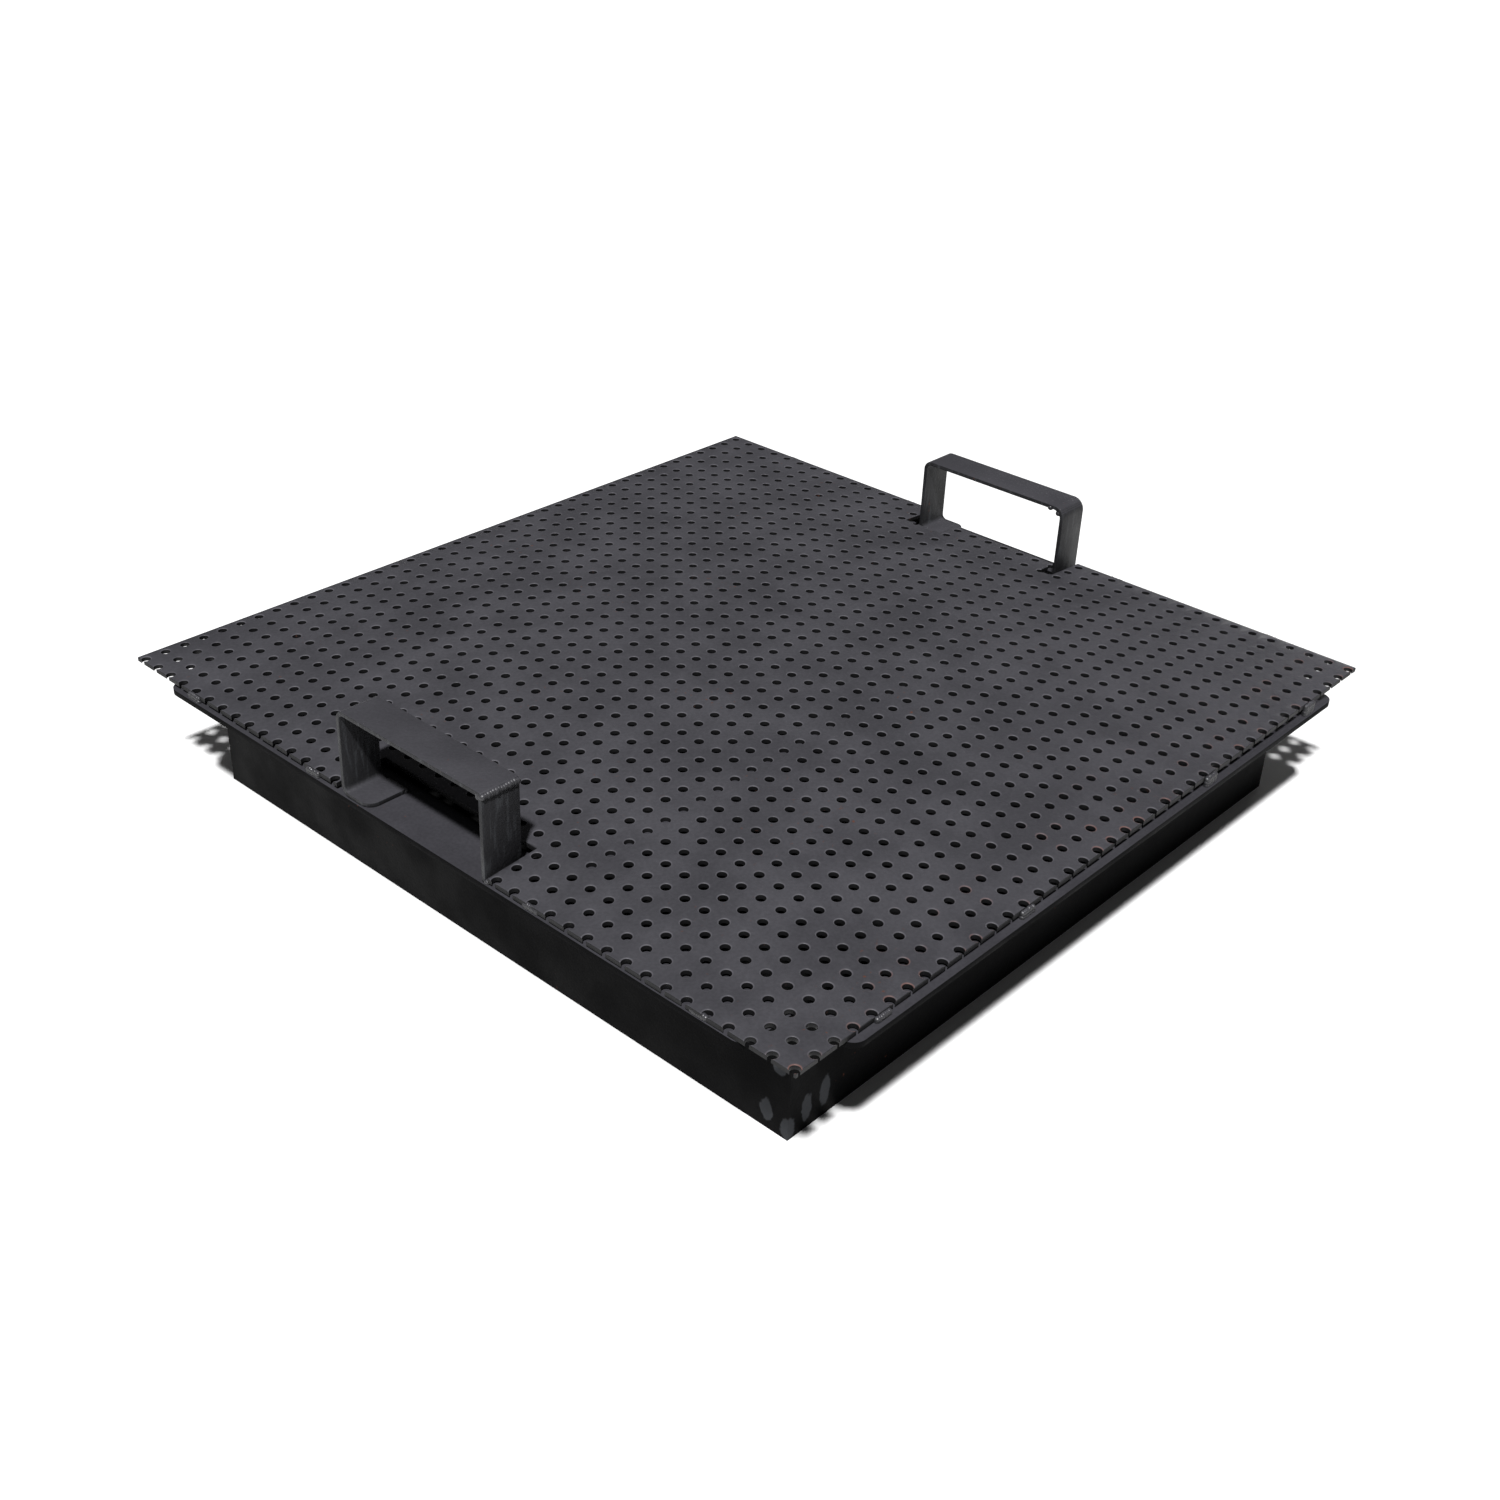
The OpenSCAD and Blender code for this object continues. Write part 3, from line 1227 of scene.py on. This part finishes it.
    def over_corner(self, handle: "LiftingHandle") -> Callable[[Bead], list[Bead]]:
        """Lays the bead between grip and plain leg inside their corner, and over its outside.

        Args:
            handle: The handle.

        Returns:
            What gives the bead's lines.
        """
        corner = handle.corner

        def lines(bead: Bead) -> list[Bead]:
            """The line inside the corner, and two outside a square corner or a drip by a round one."""
            inner = Bead(corner.bend(bead.start), corner.bend(bead.end), bead.radius)
            if corner.radius > bead.radius:
                y, z = bead.start.y + self.drip, bead.start.z + bead.radius / 3
                drip = Bead(Vector((bead.start.x, y, z)),
                            Vector((bead.start.x + bead.radius, y, z)), bead.radius)
                return [inner, drip]
            sunk = 0.9 * bead.radius
            rows = [(corner.y + 0.25 * sunk, corner.z - sunk), (corner.y + 1.35 * sunk, corner.z - sunk)]
            return [inner] + [Bead(Vector((bead.start.x, y, z)), Vector((bead.end.x, y, z)), bead.radius)
                              for y, z in rows]

        return lines

    def build(self, material: bpy.types.Material) -> None:
        """Lays every bead on the cover.

        Args:
            material: Their material.
        """
        for handle in self.handles:
            label = handle.side.label
            self.lay("handle_corner_weld_" + label, "grip_bead_" + label, material, self.over_corner(handle))
            self.lay("handle_foot_welds_" + label, "foot_beads_" + label, material)
        for depth in (Side.FRONT, Side.BACK):
            for side in (Side.LEFT, Side.RIGHT):
                where = f"{depth.label}_{side.label}"
                self.lay("corner_weld_" + where, "corner_bead_" + where, material)
        self.lay("stiffener_welds", "stiffener_beads", material)
        self.lay("sheet_tack_welds", "tack_beads", material, self.up_to_sheet)


def g_low(points: Sequence[Vector]) -> Vector:
    """The lowest corner of some points' box."""
    return Vector([min(p[i] for p in points) for i in range(3)])


def g_high(points: Sequence[Vector]) -> Vector:
    """The highest corner of some points' box."""
    return Vector([max(p[i] for p in points) for i in range(3)])


# ---------------------------------------------------------------- the studio


@dataclass(frozen=True)
class Viewpoint:
    """Where the camera stands and how it looks.

    Attributes:
        place: Its place.
        heading: Direction that it looks in, in degrees from +X towards +Y.
        tilt: How far it looks down, in degrees.
        roll: How far it leans, in degrees.
        lens: Focal length in millimetres, on a sensor 36 mm wide.
    """

    place: tuple[float, float, float] = (-0.8438, -0.7297, 0.6981)
    heading: float = 41.08
    tilt: float = 31.04
    roll: float = 2.5
    lens: float = 44.10

    def camera(self) -> bpy.types.Object:
        """Makes the camera and makes it the scene's own."""
        heading, tilt = math.radians(self.heading), math.radians(self.tilt)
        ahead = Vector((math.cos(tilt) * math.cos(heading), math.cos(tilt) * math.sin(heading),
                        -math.sin(tilt)))
        data = bpy.data.cameras.new("camera")
        data.lens = self.lens
        data.sensor_width = 36
        data.clip_start, data.clip_end = 0.01, 100
        camera = bpy.data.objects.new("camera", data)
        bpy.context.scene.collection.objects.link(camera)
        camera.location = self.place
        camera.rotation_mode = "QUATERNION"
        lean = Quaternion((0, 0, 1), math.radians(self.roll))
        camera.rotation_quaternion = ahead.to_track_quat("-Z", "Y") @ lean
        bpy.context.scene.camera = camera
        return camera


@dataclass(frozen=True)
class Lamp:
    """A square soft light that faces the cover.

    Attributes:
        name: Its name.
        place: Where it stands.
        size: Length of its sides.
        power: Its power in watts.
    """

    name: str
    place: tuple[float, float, float]
    size: float
    power: float

    def light(self) -> None:
        """Makes the light."""
        data = bpy.data.lights.new(self.name, "AREA")
        data.size = self.size
        data.energy = self.power
        lamp = bpy.data.objects.new(self.name, data)
        bpy.context.scene.collection.objects.link(lamp)
        lamp.location = self.place
        lamp.rotation_euler = (-Vector(self.place)).to_track_quat("-Z", "Y").to_euler()


@dataclass
class Studio:
    """The pale floor, the lights and the camera.

    Attributes:
        view: The camera's viewpoint.
        lamps: The lights.
        ambient: Strength of the light from all round.
        floor_colour: The floor's colour.
        shaft_colour: Its colour inside the skirt: painted shade, a near-black patch seen through the holes.
        floor_size: Length of the floor's sides.
    """

    view: Viewpoint = Viewpoint()
    lamps: tuple[Lamp, ...] = (
        Lamp("key", (-16.2, -11.04, 33.36), 2.2, 26400),
        Lamp("fill", (3.4, 0.6, 0.45), 0.5, 8),
    )
    ambient: float = 0.07
    floor_colour: Colour = (0.80, 0.80, 0.80, 1)
    # Painted shade: near-black for the floor inside the skirt.
    shaft_colour: Colour = (0.004, 0.004, 0.004, 1)
    floor_size: float = 120.0

    def floor(self) -> None:
        """Makes the floor, level with the bottom of the cover."""
        half, z = self.floor_size / 2, CAD_BOX[0].z
        mesh = bpy.data.meshes.new("floor")
        mesh.from_pydata([(-half, -half, z), (half, -half, z), (half, half, z), (-half, half, z)],
                         [], [(0, 1, 2, 3)])
        floor = add_object("floor", mesh)
        shader = Shader("floor")
        # Painted shade: a near-black patch on the floor inside the skirt darkens what shows through the
        # holes.
        skirt = self.skirt_half()
        out = [shader.math("ABSOLUTE", shader.axis(shader.place, name)) for name in "XY"]
        beyond = shader.math("GREATER_THAN", shader.math("MAXIMUM", *out), skirt)
        colour = shader.mix(beyond, self.shaft_colour, self.floor_colour)
        mesh.materials.append(shader.finish(colour, 0.9, 0.5, mm(0.1), 0.1))

    def skirt_half(self) -> float:
        """Half the skirt's width, up to the middle of its steel."""
        return -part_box("frame_angle_front")[0].x - mm(2)

    def build(self) -> None:
        """Makes the floor, the lights, the surroundings and the camera."""
        self.floor()
        for lamp in self.lamps:
            lamp.light()
        world = bpy.data.worlds.new("surroundings")
        world.use_nodes = True
        background = world.node_tree.nodes["Background"]
        background.inputs["Color"].default_value = (1, 1, 1, 1)
        background.inputs["Strength"].default_value = self.ambient
        bpy.context.scene.world = world
        bpy.context.scene.view_settings.view_transform = "Standard"
        self.view.camera()


# ---------------------------------------------------------------- the cover


@dataclass
class AccessCover:
    """The whole cover."""

    def build(self) -> None:
        """Builds every piece in order."""
        low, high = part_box("perforated_sheet")
        sheet = PerforatedSheet(Camber(half=(high.x - low.x) / 2))
        # The sheet's lighter bluish top is partly dusty and partly painted sheen; its hole rims carry a
        # painted highlight.
        sheet.build(PerforatedPaint("sheet paint", grid=sheet.grid, seating=sheet.seating,
                                    dust=(0.0555, 0.0545, 0.0625, 1), rust_line=low.y,
                                    shine=0.22, rust_share=0.6).material())
        # Painted shade: the frame's paint is darker than the sheet's, to darken the skirt that stands in
        # shadow.
        frame_paint = WornPaint("frame paint", paint=(0.0036, 0.0036, 0.0038, 1), shine=0.012,
                                marks=self.touch_ups()).material()
        FrameAngles().build(frame_paint)
        Stiffeners(sheet.camber).build(frame_paint)
        handle_paint = WornPaint("handle paint", relief=mm(0.3), rust_share=0.5, shine=0.2,
                                 streaks=0.7, paint=(0.015, 0.015, 0.0165, 1)).material()
        handles = (LiftingHandle(Side.LEFT, mm(2.2)), LiftingHandle(Side.RIGHT, mm(9)))
        for handle in handles:
            handle.build(handle_paint)
        weld_paint = WornPaint("weld paint", relief=mm(0.2), gloss=0.3, matt=0.45, rust_share=0.6,
                               shine=0.5, paint=(0.022, 0.022, 0.024, 1)).material()
        WeldBeads(sheet.camber, sheet.seating, handles).build(weld_paint)

    def touch_ups(self) -> tuple[TouchUp, ...]:
        """Dabs of newer paint round the front left corner of the skirt."""
        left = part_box("frame_angle_front")[0].x
        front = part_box("frame_angle_left")[0].y
        thin = mm(3)
        return (
            TouchUp((left, front + mm(8), mm(48)), (thin, mm(5), mm(7))),
            TouchUp((left, front + mm(16), mm(13)), (thin, mm(5), mm(8))),
            TouchUp((left, front, mm(7)), (mm(6), mm(6), mm(9))),
            TouchUp((left + mm(15), front, mm(15)), (mm(4.5), thin, mm(10))),
            TouchUp((left + mm(30), front, mm(18)), (mm(4.5), thin, mm(11))),
        )


def main() -> None:
    """Builds the cover and the studio."""
    logging.basicConfig(level=logging.INFO, format="%(message)s")
    Studio().build()
    AccessCover().build()


if __name__ == "__main__":
    main()
